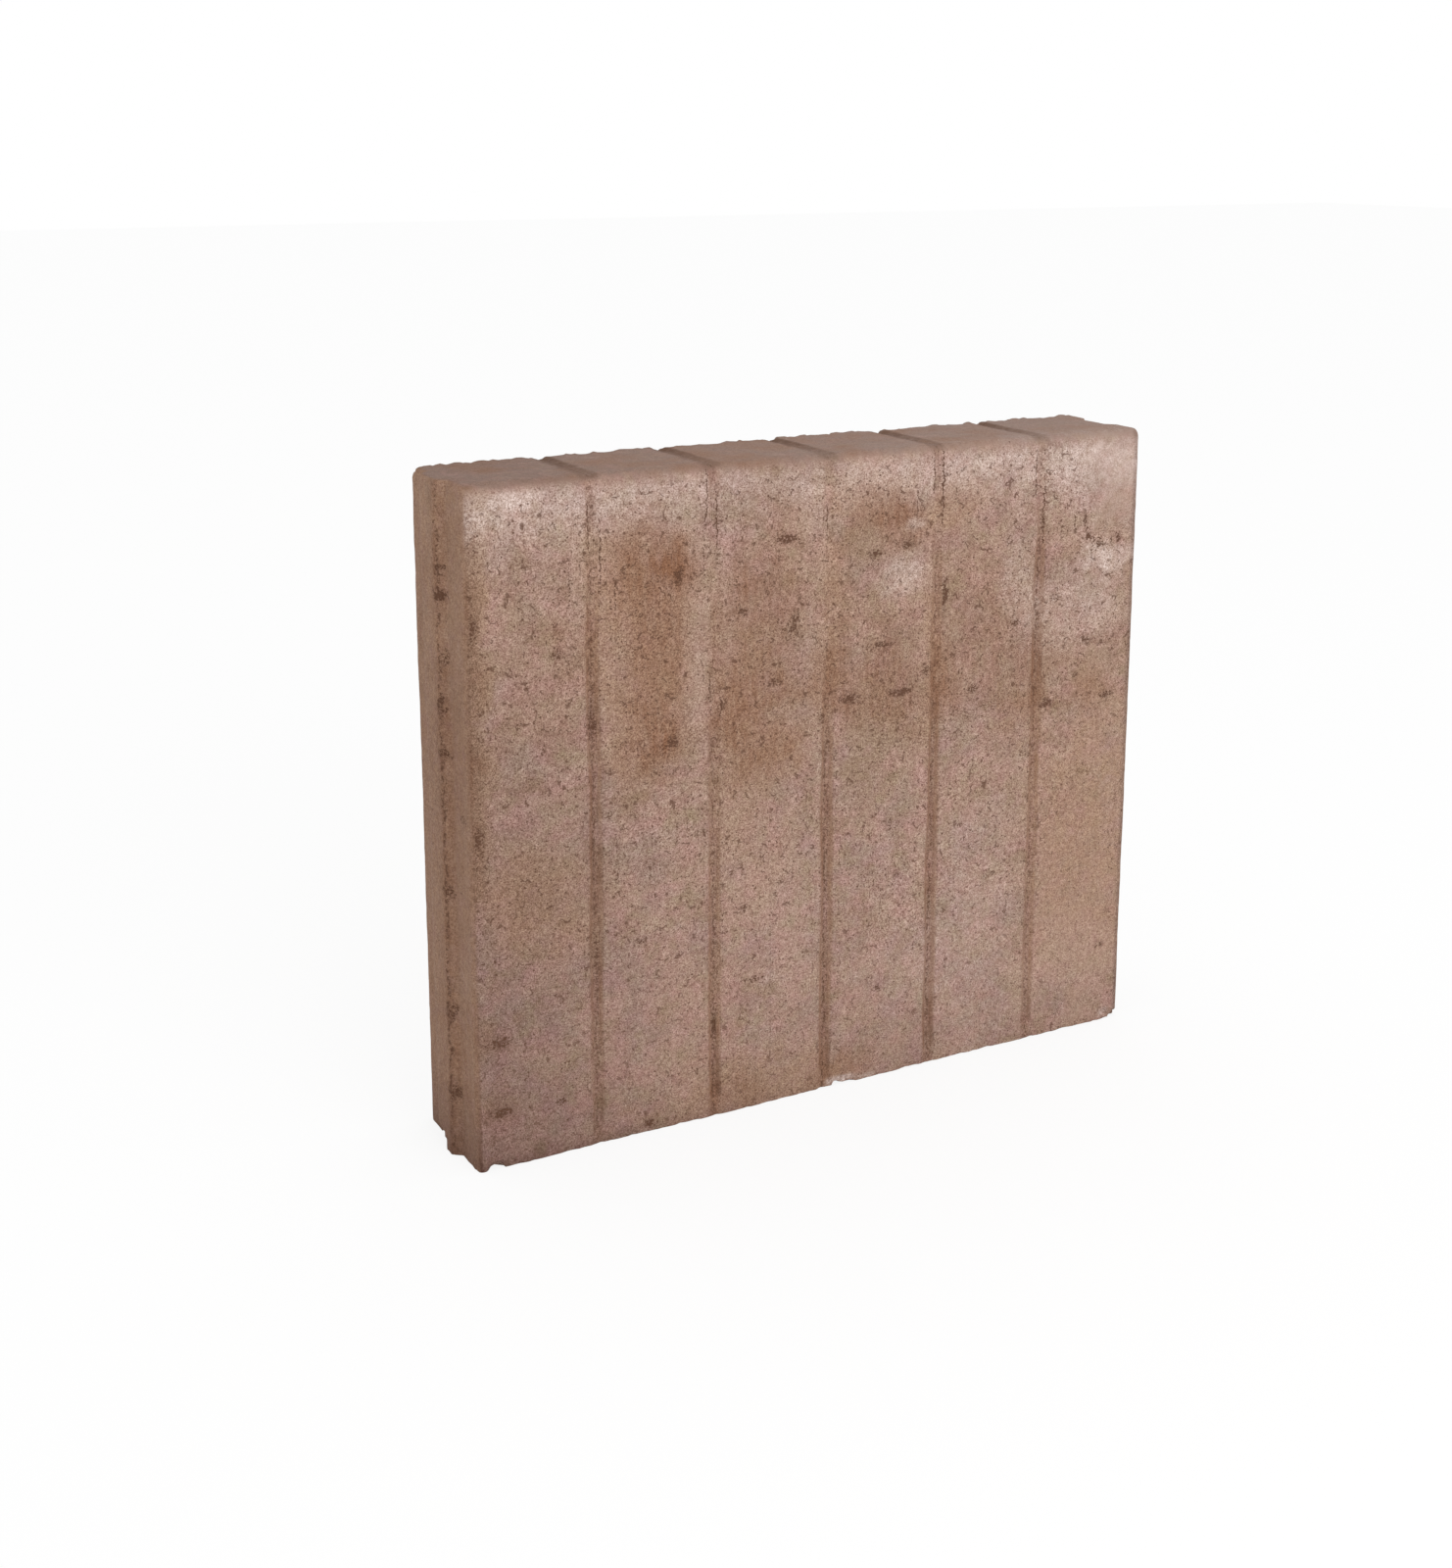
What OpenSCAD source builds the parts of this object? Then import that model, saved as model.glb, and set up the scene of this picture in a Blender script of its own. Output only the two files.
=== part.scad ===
// Concrete palisade: an edging slab cast in one piece to look like a row of upright posts.
// It stands on its bottom edge. +X runs along the row, the front faces -Y, +Z is up, and
// the origin is at the middle of the bottom of the overall box. Sizes are in millimetres.

/* [Posts] */
// Number of posts that the slab imitates
post_count = 6; // [3:1:8]
// Distance from the middle of one post to the middle of the next
post_pitch = 77; // [60:0.5:100]
// Thickness of the posts and of the slab, from front to rear
thickness = 80; // [60:1:120]
// Height of the slab as it stands
height = 400; // [250:10:600]
// Rounding of the upright edges of each post
post_edge_r = 4; // [2.5:0.5:7]
// Rounding along the top of the slab at the front and at the rear
top_edge_r = 7; // [5:0.5:14]

/* [Grooves] */
// Width of the groove between two posts at its root
groove_root_w = 4; // [2:0.5:6]
// Depth of the upright grooves at the front and at the rear
groove_depth = 3; // [2:0.5:4.5]
// Depth of the grooves across the top
top_groove_depth = 2; // [1.5:0.5:4]

/* [Interlock] */
// Gap that stays open between two slabs in a row
joint_gap = 2; // [0:0.5:3]
// Width of the tongue where it leaves the end of the slab
tongue_w = 32; // [26:1:44]
// How far the tongue stands out of the end of the slab
tongue_h = 5.5; // [4:0.5:8]
// How much further in each side of the tongue is at its tip
tongue_slope = 6; // [2:0.5:8]
// Rounding of the edges of the tongue's tip
tongue_edge_r = 3; // [1:0.5:4]
// Clearance that the groove in the other end leaves round a tongue
tongue_clearance = 1; // [0.5:0.5:3]

/* [Hidden] */
$fn = 96;
concrete_colour = "#a1857a";
row_length = post_count * post_pitch;
// Each end stands back by half the gap, so that two slabs meet in one more groove.
slab_length = row_length - joint_gap;
// The tongue counts in the overall box, so the slab is set off by half of it.
left_end_x = (tongue_h - slab_length) / 2;
front_y = -thickness / 2;
// The tongue reaches into the slab past the rounded shoulder of the end post.
tongue_bite = post_edge_r + tongue_edge_r;
// Steps of the rounding at the edge of the tongue's tip
edge_steps = 8;
// Cutters run past the faces that they open by this much.
cut_past = 1;

// Distance of a post's left side from the left end of the slab, counting posts from 0
function post_left(i) = i == 0 ? 0 : i * post_pitch + (groove_root_w - joint_gap) / 2;

// Distance of a post's right side from the left end of the slab
function post_right(i) = i == post_count - 1 ? slab_length : post_left(i + 1) - groove_root_w;

// A rectangle from the origin with four round corners
module rounded_rectangle(w, h, r) {
    translate([r, 0]) square([w - 2 * r, h]);
    translate([0, r]) square([w, h - 2 * r]);
    for (x = [r, w - r], y = [r, h - r])
        translate([x, y]) circle(r);
}

// A rectangle that stands on the X axis, with its two top corners round
module round_topped(w, h, r) {
    square([w, h - r]);
    translate([r, 0]) square([w - 2 * r, h]);
    for (x = [r, w - r])
        translate([x, h - r]) circle(r);
}

// Draws a side view, given as depth and height, out along +X.
module along_x(length) {
    rotate([90, 0, 90]) linear_extrude(length) children();
}

// Draws a front view, given as width and height, through the thickness.
module through_thickness() {
    translate([0, thickness, 0]) rotate([90, 0, 0]) linear_extrude(thickness) children();
}

// One post, whose box starts at the origin: its plan, side view and front view agree in it,
// so that every edge but the bottom one is round.
module post(width) {
    intersection() {
        linear_extrude(height) rounded_rectangle(width, thickness, post_edge_r);
        along_x(width) round_topped(thickness, height, top_edge_r);
        through_thickness() round_topped(width, height, post_edge_r);
    }
}

// The body that joins the posts, from inside the first post to inside the last.
// Its faces are the roots of the grooves.
module core() {
    translate([0, groove_depth, 0])
        along_x(row_length - post_pitch)
            round_topped(thickness - 2 * groove_depth, height - top_groove_depth,
                         top_edge_r - groove_depth);
}

// Plan of the tongue, which points to -X from the end of the slab at x = 0 and lies along
// the X axis. It starts inside the slab at x = back. grow makes it wider and higher.
module tongue_plan(back, grow = 0) {
    root = tongue_w / 2 + grow;
    length = tongue_h + grow;
    // The tip's edge is an arc from square across the sloping side to square across the tip.
    side_angle = 90 + atan(tongue_slope / length);
    edge_x = tongue_edge_r - length;
    edge_y = root - tongue_slope - tongue_edge_r / tan(side_angle / 2);
    tip_edge = [for (i = [0 : edge_steps])
        let (a = side_angle + (180 - side_angle) * i / edge_steps)
            [edge_x + tongue_edge_r * cos(a), edge_y + tongue_edge_r * sin(a)]];
    side = concat([[back, root], [0, root]], tip_edge);
    polygon(concat(side, [for (i = [len(side) - 1 : -1 : 0]) [side[i].x, -side[i].y]]));
}

// The tongue on the left end, with the edge of its tip round at the top as well
module tongue() {
    intersection() {
        linear_extrude(height) translate([0, thickness / 2]) tongue_plan(tongue_bite);
        through_thickness() translate([-tongue_h, 0])
            round_topped(tongue_h + tongue_bite + tongue_edge_r, height, tongue_edge_r);
    }
}

// Cutter for the groove in the right end, which takes the tongue of the next slab
module tongue_groove() {
    translate([0, thickness / 2, -cut_past])
        linear_extrude(height + 2 * cut_past) tongue_plan(cut_past, tongue_clearance);
}

module palisade_slab() {
    color(concrete_colour) translate([left_end_x, front_y, 0])
        difference() {
            union() {
                for (i = [0 : post_count - 1])
                    translate([post_left(i), 0, 0]) post(post_right(i) - post_left(i));
                translate([post_pitch / 2, 0, 0]) core();
                tongue();
            }
            translate([slab_length, 0, 0]) tongue_groove();
        }
}

palisade_slab();
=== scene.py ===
"""Looks of a concrete palisade: an edging slab cast in one piece to look like a row of posts.

Sizes are in metres.
"""

import math
from functools import cached_property
from types import SimpleNamespace

import bpy
import numpy as np
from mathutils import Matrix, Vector


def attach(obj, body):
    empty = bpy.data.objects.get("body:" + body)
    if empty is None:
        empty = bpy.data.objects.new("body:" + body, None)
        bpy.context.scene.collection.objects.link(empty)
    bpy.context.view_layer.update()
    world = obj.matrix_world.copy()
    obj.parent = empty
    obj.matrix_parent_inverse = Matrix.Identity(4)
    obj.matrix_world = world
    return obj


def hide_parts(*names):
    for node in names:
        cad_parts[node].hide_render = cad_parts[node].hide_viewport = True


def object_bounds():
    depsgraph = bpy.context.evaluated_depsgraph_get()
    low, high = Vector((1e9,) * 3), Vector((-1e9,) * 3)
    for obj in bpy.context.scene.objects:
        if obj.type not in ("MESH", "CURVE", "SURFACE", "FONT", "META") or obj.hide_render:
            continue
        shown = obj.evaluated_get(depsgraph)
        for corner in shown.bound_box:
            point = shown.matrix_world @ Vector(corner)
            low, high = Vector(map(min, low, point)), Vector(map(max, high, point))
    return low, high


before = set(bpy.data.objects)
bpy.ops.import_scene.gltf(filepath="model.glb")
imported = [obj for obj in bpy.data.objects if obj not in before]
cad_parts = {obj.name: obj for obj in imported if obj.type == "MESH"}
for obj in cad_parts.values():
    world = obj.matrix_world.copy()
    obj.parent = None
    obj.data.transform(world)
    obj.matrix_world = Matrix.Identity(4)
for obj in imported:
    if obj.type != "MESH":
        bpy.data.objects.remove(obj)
CAD_LOW, CAD_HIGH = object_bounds()

bl_info = {
    "name": "Concrete palisade",
    "version": (1, 0, 0),
    "blender": (4, 5, 0),
    "location": "View3D > Sidebar > Palisade",
    "description": "Casts a weathered concrete palisade slab and sets up a plain studio for it",
    "category": "Add Mesh",
}

MM = 0.001

# How many cubes of random numbers the noise repeats after, and where it starts
NOISE_CUBES = 61
NOISE_START = 1000.0

# Steps of the mesh along the row and across the top: beside an edge or a groove, and elsewhere.
# Up the walls they are shares of the height.
ROW_STEPS = (1.0 * MM, 2.9 * MM)
TOP_STEPS = (1.1 * MM, 3.2 * MM)
WALL_STEPS = (0.0026, 0.0074)
# How many places those steps are summed at
SPREAD_SAMPLES = 6001

# How far along the row the tongue, and the groove that takes it, draw the points with them
TONGUE_DRAW = 11 * MM
SOCKET_DRAW = 16 * MM

# Depths in millimetres behind the middle of the tongue's front side, stained and with painted
# shade in its crease, and of its rear side, which has a painted highlight against its shade
TONGUE_FRONT = -11
TONGUE_REAR = 14

# Size of the noise that makes the outlines of holes ragged
OUTLINE_NOISE = 2.4 * MM
# How far outside a mark the points still know of it, in millimetres: about one wide step of
# the mesh
MARK_MARGIN = 3.1

# Tints that the colour is multiplied by, from dark to light: clouds in the dye, its change of
# hue, single grains and clumps of them. The last is what the painted shade leaves of the colour.
CLOUD_TINTS = ((0.84, 0.8, 0.78), (1.16, 1.2, 1.22))
HUE_TINTS = ((1.035, 0.975, 1.02), (0.965, 1.02, 0.955))
GRAIN_TINTS = ((0.33, 0.2, 0.13), (1.37, 1.46, 1.5))
CLUMP_TINTS = ((0.77, 0.72, 0.69), (1.23, 1.28, 1.31))
# Painted shade: a reddish darkening multiplied over the colour
PAINTED_SHADE_TINT = (0.1, 0.0, 0.02)

# How far the floor reaches each way, and how much of it shows as white of which strength
FLOOR_REACH = 12.0
FLOOR_WHITE_SHARE = 0.8
FLOOR_WHITE = 1.06

# Where the large lamp is, what it points at, and its width and height
LAMP_PLACE = (0.25, -2.6, 1.2)
LAMP_AIM = (0.0, 0.0, 0.2)
LAMP_SIZE = (1.8, 1.4)

# Stains on the front: rust, warm tint, olive tint and lime, and where the face is calm. Each row
# is the distance from the left end, the height, half the width and half the height of a patch in
# millimetres, and its strength.
RUST_STAINS = (
    (250, 290, 330, 66, 0.1), (112, 308, 19, 74, 0.5), (116, 352, 17, 18, 0.36),
    (127, 342, 7, 13, 0.3), (122, 243, 11, 11, 0.3), (184, 306, 25, 66, 0.36),
    (170, 338, 9, 18, 0.2), (182, 238, 20, 38, 0.38), (264, 368, 25, 14, 0.6),
    (281, 353, 13, 16, 0.42), (264, 257, 42, 26, 0.4), (240, 300, 8, 50, 0.32),
    (322, 368, 13, 10, 0.32), (345, 268, 32, 44, 0.22), (408, 228, 36, 10, 0.32),
    (412, 150, 20, 50, 0.1), (166, 12, 18, 16, 0.4), (246, 16, 22, 17, 0.4), (2, 300, 7, 90, 0.32),
    (3, 190, 7, 40, 0.32), (34, 158, 28, 20, 0.15), (62, 300, 10, 18, 0.2), (400, 258, 26, 12, 0.2),
    (12, 79, 10, 8, 0.25), (14, 36, 11, 8, 0.3),
)
WARM_STAINS = (
    (250, 300, 330, 66, 0.16), (424, 130, 50, 100, 0.62), (262, 372, 34, 14, 0.6),
    (184, 220, 24, 60, 0.5), (104, 300, 30, 70, 0.5), (302, 280, 8, 70, 0.6),
    (230, 300, 10, 70, 0.5), (34, 158, 34, 26, 0.7), (200, 14, 90, 18, 0.7), (2, 280, 10, 120, 0.9),
    (322, 366, 22, 14, 0.5),
)
OLIVE_STAINS = (
    (254, 346, 16, 14, 1.0), (262, 222, 22, 26, 0.8), (172, 205, 24, 30, 0.3),
    (3, 260, 8, 130, 0.9), (236, 262, 170, 70, 0.2), (76, 170, 6, 50, 0.4), (434, 346, 12, 10, 0.3),
    (396, 245, 14, 20, 0.4), (50, 168, 24, 24, 0.3), (184, 14, 60, 10, 0.4),
    (120, 240, 16, 10, 0.3),
)
LIME_PATCHES = (
    (30, 389, 10, 5, 0.3), (286, 321, 17, 13, 0.55), (290, 354, 6, 3, 0.4), (440, 319, 24, 7, 0.6),
    (430, 362, 34, 30, 0.2), (414, 292, 30, 28, 0.33), (143, 320, 7, 44, 0.1),
    (141, 262, 6, 34, 0.08), (163, 330, 4, 40, 0.08), (221, 350, 8, 34, 0.1),
    (218, 280, 7, 36, 0.08), (65, 325, 5, 30, 0.12), (297, 270, 5, 40, 0.08),
    (368, 318, 12, 36, 0.26), (205, 108, 28, 48, 0.08), (284, 88, 28, 58, 0.1),
    (346, 90, 34, 78, 0.15), (424, 40, 30, 30, 0.1), (244, 3, 9, 3, 0.9), (262, 2, 7, 2, 0.7),
    (448, 6, 5, 5, 0.8),
)
CALM_PATCHES = ((430, 120, 40, 90, 0.15), (440, 372, 22, 26, 0.5))

# How much lime each post has under its top edge, from the left
LIME_ON_POSTS = (0.54, 0.46, 0.24, 0.46, 0.54, 0.62)

# Heights in millimetres, and how deep and dirty each groove is at them, from the left
GROOVE_HEIGHTS = (0, 60, 150, 225, 275, 325, 365, 395)
GROOVE_DIRT = (
    (0.6, 0.7, 1.1, 0.8, 1.1, 0.7, 0.2, 0.6),
    (1.0, 1.0, 0.8, 0.5, 0.3, 0.1, -0.3, 0.7),
    (1.0, 1.0, 1.2, 0.8, 0.1, 0.0, -0.5, 0.3),
    (1.1, 1.1, 1.2, 0.8, 0.5, 0.6, -0.3, 0.5),
    (0.75, 0.75, 0.75, 0.6, 1.0, 0.9, 0.1, 0.3),
)
# The same for all the grooves at the rear
REAR_GROOVE_DIRT = 0.7

# Dark holes and thin cracks on the front: distance from the left end, height, half width and
# half height in millimetres, and how dark they are. On the left end the first number is the
# depth behind the middle.
HOLES = (
    (421, 334, 2.2, 2.0, 1.3), (431, 328, 3.2, 1.6, 0.8), (445, 331, 2.0, 2.6, 0.6),
    (418, 346, 1.6, 4.0, 0.5), (14, 77, 6.0, 3.4, 0.66), (15, 35, 6.0, 3.0, 0.7),
    (201, 353, 6.0, 2.6, 0.7), (154, 58, 2.4, 8.0, 0.8), (180, 83, 6.0, 2.0, 0.5),
    (245, 250, 6.0, 2.6, 0.9), (281, 250, 8.0, 2.4, 0.8), (130, 337, 3.0, 5.0, 0.7),
    (75, 257, 3.0, 8.0, 0.5), (312, 308, 2.4, 8.0, 0.7), (171, 312, 4.0, 2.6, 0.5),
    (206, 300, 3.6, 6.0, 0.5), (193, 267, 4.0, 2.4, 0.5), (266, 281, 9.0, 1.6, 0.5),
    (125, 240, 5.0, 3.0, 0.5), (365, 283, 4.0, 2.4, 0.6), (335, 245, 4.0, 2.6, 0.5),
    (393, 228, 5.0, 2.6, 0.6), (440, 228, 4.0, 2.4, 0.6), (422, 266, 3.2, 3.0, 0.5),
    (396, 297, 3.0, 2.2, 0.5), (53, 300, 4.0, 2.4, 0.5), (442, 55, 4.0, 2.4, 0.35),
    (4, 320, 2.4, 6.0, 0.6), (5, 200, 3.0, 7.0, 0.6), (103, 122, 3.4, 2.0, 0.4),
    (172, 130, 3.0, 2.0, 0.4), (262, 338, 4.0, 2.0, 0.6), (285, 341, 4.0, 1.8, 0.6),
    (352, 121, 2.6, 1.8, 0.5), (268, 60, 2.4, 1.8, 0.5), (52, 33, 3.0, 1.8, 0.5),
    (109, 6, 3.4, 2.4, 0.75), (300, 262, 3.0, 4.0, 0.4), (226, 240, 2.4, 5.0, 0.4),
    (380, 196, 3.0, 2.0, 0.4),
)
END_HOLES = (
    (-12, 351, 3.4, 1.5, 0.65), (-12, 335, 3.4, 3.4, 0.9), (-14, 300, 2.0, 5.0, 0.4),
    (-11, 272, 2.0, 6.0, 0.5), (-12, 244, 3.6, 2.6, 0.55), (-12, 162, 3.0, 4.0, 0.5),
    (-12, 90, 3.0, 5.0, 0.5), (-13, 40, 4.0, 4.0, 0.6), (-30, 210, 4.0, 2.0, 0.3),
)
CRACKS = (
    (148, 384, 0.5, 14, 0.8), (155, 366, 0.5, 20, 0.8), (146, 350, 0.4, 10, 0.7),
    (228, 362, 0.4, 16, 0.8), (303, 384, 0.5, 12, 0.8), (310, 372, 0.5, 22, 0.8),
    (291, 366, 0.4, 10, 0.8), (379, 380, 0.5, 18, 0.8), (386, 352, 0.5, 20, 0.8),
    (74, 372, 0.5, 20, 0.8), (81, 350, 0.4, 24, 0.7), (150, 268, 0.5, 9, 0.8),
    (157, 256, 0.4, 7, 0.8), (410, 343, 0.5, 6, 0.8), (90, 330, 0.4, 12, 0.6),
    (425, 332, 3.8, 0.9, 1.3), (424, 322, 0.4, 8, 0.6), (62, 340, 0.4, 8, 0.5),
)

# Chips: distance from the left end, depth behind the middle, height, radius and push, all in
# millimetres
CHIPS = (
    (-5.5, 9, 0, 11, (4.5, 0, 4)),
    (11, -40, 0, 5, (0, 1.5, 2.5)),
    (-1, -36, 3, 4, (1.5, 0.5, 0)),
    (242, -40, 0, 6, (0, 1.5, 2.0)),
    (250, -40, 1, 3, (0, 1.2, 1.0)),
    (449, -40, 4, 4, (0, 1.2, 0.8)),
    (458, -39, 0, 5, (-1.5, 1.5, 2.0)),
    (118, 39, 400, 5, (0, -1.0, -1.2)),
    (262, 39, 400, 6, (0, -1.2, -1.4)),
    (333, 39, 400, 4, (0, -1.0, -1.2)),
    (431, 39, 400, 5, (0, -1.0, -1.0)),
)


# ---------------------------------------------------------------- settings


LENGTH = {"subtype": "DISTANCE", "unit": "LENGTH"}
COLOUR = {"subtype": "COLOR", "size": 3, "min": 0.0, "max": 1.0}


class SlabSizes(bpy.types.PropertyGroup):
    """Sizes of the slab, as the solids have them"""

    post_count: bpy.props.IntProperty(
        name="Posts", description="Number of posts that the slab imitates", default=6, min=3, max=8
    )
    post_pitch: bpy.props.FloatProperty(
        name="Post pitch", default=77 * MM, **LENGTH,
        description="Distance from the middle of one post to the middle of the next",
    )
    thickness: bpy.props.FloatProperty(
        name="Thickness", description="Thickness of the slab from front to rear",
        default=CAD_HIGH.y - CAD_LOW.y, **LENGTH,
    )
    height: bpy.props.FloatProperty(
        name="Height", description="Height of the slab as it stands",
        default=CAD_HIGH.z - CAD_LOW.z, **LENGTH,
    )
    post_edge_r: bpy.props.FloatProperty(
        name="Post edge", description="Rounding of the upright edges of each post",
        default=4 * MM, **LENGTH,
    )
    top_edge_r: bpy.props.FloatProperty(
        name="Top edge", description="Rounding along the top at the front and at the rear",
        default=7 * MM, **LENGTH,
    )
    foot_edge_r: bpy.props.FloatProperty(
        name="Foot edge", description="Worn edge along the bottom",
        default=0.9 * MM, **LENGTH,
    )
    right_edge_r: bpy.props.FloatProperty(
        name="Right edge", description="Top edge of the right end, sharper than the others",
        default=1.8 * MM, **LENGTH,
    )
    socket_edge_r: bpy.props.FloatProperty(
        name="Socket edge", description="Top edge of the groove that takes the tongue",
        default=1 * MM, **LENGTH,
    )
    groove_root_w: bpy.props.FloatProperty(
        name="Groove root", description="Width of the groove between two posts at its root",
        default=4 * MM, **LENGTH,
    )
    groove_depth: bpy.props.FloatProperty(
        name="Groove depth", description="Depth of the upright grooves",
        default=3 * MM, **LENGTH,
    )
    top_groove_depth: bpy.props.FloatProperty(
        name="Top groove depth", description="Depth of the grooves across the top",
        default=2 * MM, **LENGTH,
    )
    joint_gap: bpy.props.FloatProperty(
        name="Joint gap", description="Gap that stays open between two slabs in a row",
        default=2 * MM, **LENGTH,
    )
    tongue_w: bpy.props.FloatProperty(
        name="Tongue width", description="Width of the tongue where it leaves the end",
        default=32 * MM, **LENGTH,
    )
    tongue_h: bpy.props.FloatProperty(
        name="Tongue height", description="How far the tongue stands out of the end",
        default=5.5 * MM, **LENGTH,
    )
    tongue_slope: bpy.props.FloatProperty(
        name="Tongue slope", default=6 * MM, **LENGTH,
        description="How much further in each side of the tongue is at its tip",
    )
    tongue_edge_r: bpy.props.FloatProperty(
        name="Tongue edge", description="Rounding of the edges of the tongue's tip",
        default=3 * MM, **LENGTH,
    )
    tongue_clearance: bpy.props.FloatProperty(
        name="Tongue clearance", default=1 * MM, **LENGTH,
        description="Clearance of the groove in the other end round a tongue",
    )


class ConcreteFinish(bpy.types.PropertyGroup):
    """Surface of the concrete"""

    waviness: bpy.props.FloatProperty(
        name="Waviness", description="Height of the slow waves in the pressed faces",
        default=0.35 * MM, **LENGTH,
    )
    crumble: bpy.props.FloatProperty(
        name="Crumble", description="How deep the bottom and the rear top edge have crumbled",
        default=1.3 * MM, **LENGTH,
    )
    grain_size: bpy.props.FloatProperty(
        name="Grain", description="Size of the sand grains that show in the face",
        default=0.8 * MM, **LENGTH,
    )
    heather: bpy.props.FloatVectorProperty(
        name="Heather", description="Pinkish brown of the dyed concrete",
        default=(0.371, 0.231, 0.181), **COLOUR,
    )
    mauve: bpy.props.FloatVectorProperty(
        name="Mauve", description="Cooler patches of the dyed concrete",
        default=(0.335, 0.216, 0.176), **COLOUR,
    )
    umber: bpy.props.FloatVectorProperty(
        name="Umber", description="Olive brown patches where the dye is stronger",
        default=(0.302, 0.197, 0.135), **COLOUR,
    )
    ochre: bpy.props.FloatVectorProperty(
        name="Ochre", description="Rusty stains",
        default=(0.225, 0.105, 0.058), **COLOUR,
    )
    amber: bpy.props.FloatVectorProperty(
        name="Amber", description="Light rusty tint",
        default=(0.385, 0.236, 0.156), **COLOUR,
    )
    # Lime, and a painted highlight down the rear side of the tongue
    lime_and_highlight: bpy.props.FloatVectorProperty(
        name="Lime bloom", description="Pale lime on the face",
        default=(0.61, 0.468, 0.412), **COLOUR,
    )
    # Dust, and painted shade: the whole top is darker as less of the light falls on it than on the
    # front
    dust_and_shade: bpy.props.FloatVectorProperty(
        name="Dust", description="Grey dust on the top",
        default=(0.262, 0.173, 0.137), **COLOUR,
    )
    # Soil, and painted shade: the same dark colour darkens the grooves across the top and the crease
    # by the tongue
    soil_and_shade: bpy.props.FloatVectorProperty(
        name="Soil", description="Dark soil in pores, grooves and broken edges",
        default=(0.107, 0.048, 0.027), **COLOUR,
    )


class Studio(bpy.types.PropertyGroup):
    """Camera and lights"""

    camera_place: bpy.props.FloatVectorProperty(
        name="Camera place", description="Where the camera stands",
        default=(-0.613, -1.0618, 0.5852), subtype="TRANSLATION", unit="LENGTH", size=3,
    )
    camera_heading: bpy.props.FloatProperty(
        name="Camera heading", description="Turn of the camera from +Y towards +X",
        default=math.radians(28.124), subtype="ANGLE", unit="ROTATION",
    )
    camera_dip: bpy.props.FloatProperty(
        name="Camera dip", description="How far the camera looks down",
        default=math.radians(11.888), subtype="ANGLE", unit="ROTATION",
    )
    lens: bpy.props.FloatProperty(
        name="Lens", description="Focal length in millimetres", default=47.29, min=10.0, max=300.0
    )
    rise: bpy.props.FloatProperty(
        name="Lens shift", description="Upright shift of the lens", default=-0.14, min=-1.0, max=1.0
    )
    key_power: bpy.props.FloatProperty(
        name="Key light", description="Power of the large lamp in front",
        default=27.0, subtype="POWER", unit="POWER", min=0.0,
    )
    sky_strength: bpy.props.FloatProperty(
        name="Soft light", description="Strength of the even light all round",
        default=0.81, min=0.0, max=2.0,
    )
    floor_colour: bpy.props.FloatVectorProperty(
        name="Floor", description="Pale floor",
        default=(0.8, 0.8, 0.8), **COLOUR,
    )


# ---------------------------------------------------------------- shapes


def smooth_step(share):
    """Three times the square less twice the cube of the share, held between 0 and 1."""
    share = np.clip(share, 0.0, 1.0)
    return share * share * (3.0 - 2.0 * share)


def rise(value, start, width):
    """Nothing up to the start, and from there the smooth step up to one over the width"""
    return smooth_step((value - start) / width)


def fade(value, start, width):
    """One up to the start, and from there the smooth step down to nothing over the width"""
    return 1.0 - smooth_step((value - start) / width)


def hill(value, middle, width):
    """Bell curve: one at the middle, and e to the minus square of the distance in widths"""
    return np.exp(-(((value - middle) / width) ** 2))


def blend(first, second, share):
    """The first where the share is nothing, the second where it is one, and the mean between"""
    return first * (1.0 - share) + second * share


def edge_round(inward, radius):
    """Drop of a quarter-round edge at a distance inward from its side: the radius less the
    circle's height there. It is the whole radius at the side and nothing one radius in."""
    rest = np.clip(radius - inward, 0.0, radius)
    return radius - np.sqrt(radius**2 - rest**2)


def soft_noise(points, size, seed):
    """Noise from -1 to 1: random numbers at the corners of cubes of one size, blended between
    the corners by the smooth step along each of the three directions."""
    numbers = np.random.default_rng(seed).uniform(-1.0, 1.0, (NOISE_CUBES,) * 3)
    place = points / size + NOISE_START
    cube = np.floor(place).astype(int)
    share = smooth_step(place - cube)
    total = np.zeros(points.shape[:-1])
    for corner in np.ndindex(2, 2, 2):
        weight = np.where(np.array(corner) == 1, share, 1.0 - share).prod(axis=-1)
        i, j, k = np.moveaxis((cube + corner) % NOISE_CUBES, -1, 0)
        total += weight * numbers[i, j, k]
    return total


def spread(low, high, close_places, reach, steps):
    """Places from low to high that stand closer near some of them: the steps to the metre are
    summed along the way, and the places are where that sum passes whole numbers."""
    close_step, wide_step = steps
    along = np.linspace(low, high, SPREAD_SAMPLES)
    near = np.abs(along[:, None] - np.asarray(close_places)).min(axis=1)
    close = fade(near / reach, 0.75, 0.5)
    rate = close / close_step + (1.0 - close) / wide_step
    passed = np.concatenate([[0.0], np.cumsum((rate[1:] + rate[:-1]) / 2.0 * np.diff(along))])
    count = int(round(passed[-1]))
    return np.interp(np.linspace(0.0, passed[-1], count + 1), passed, along)


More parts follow.
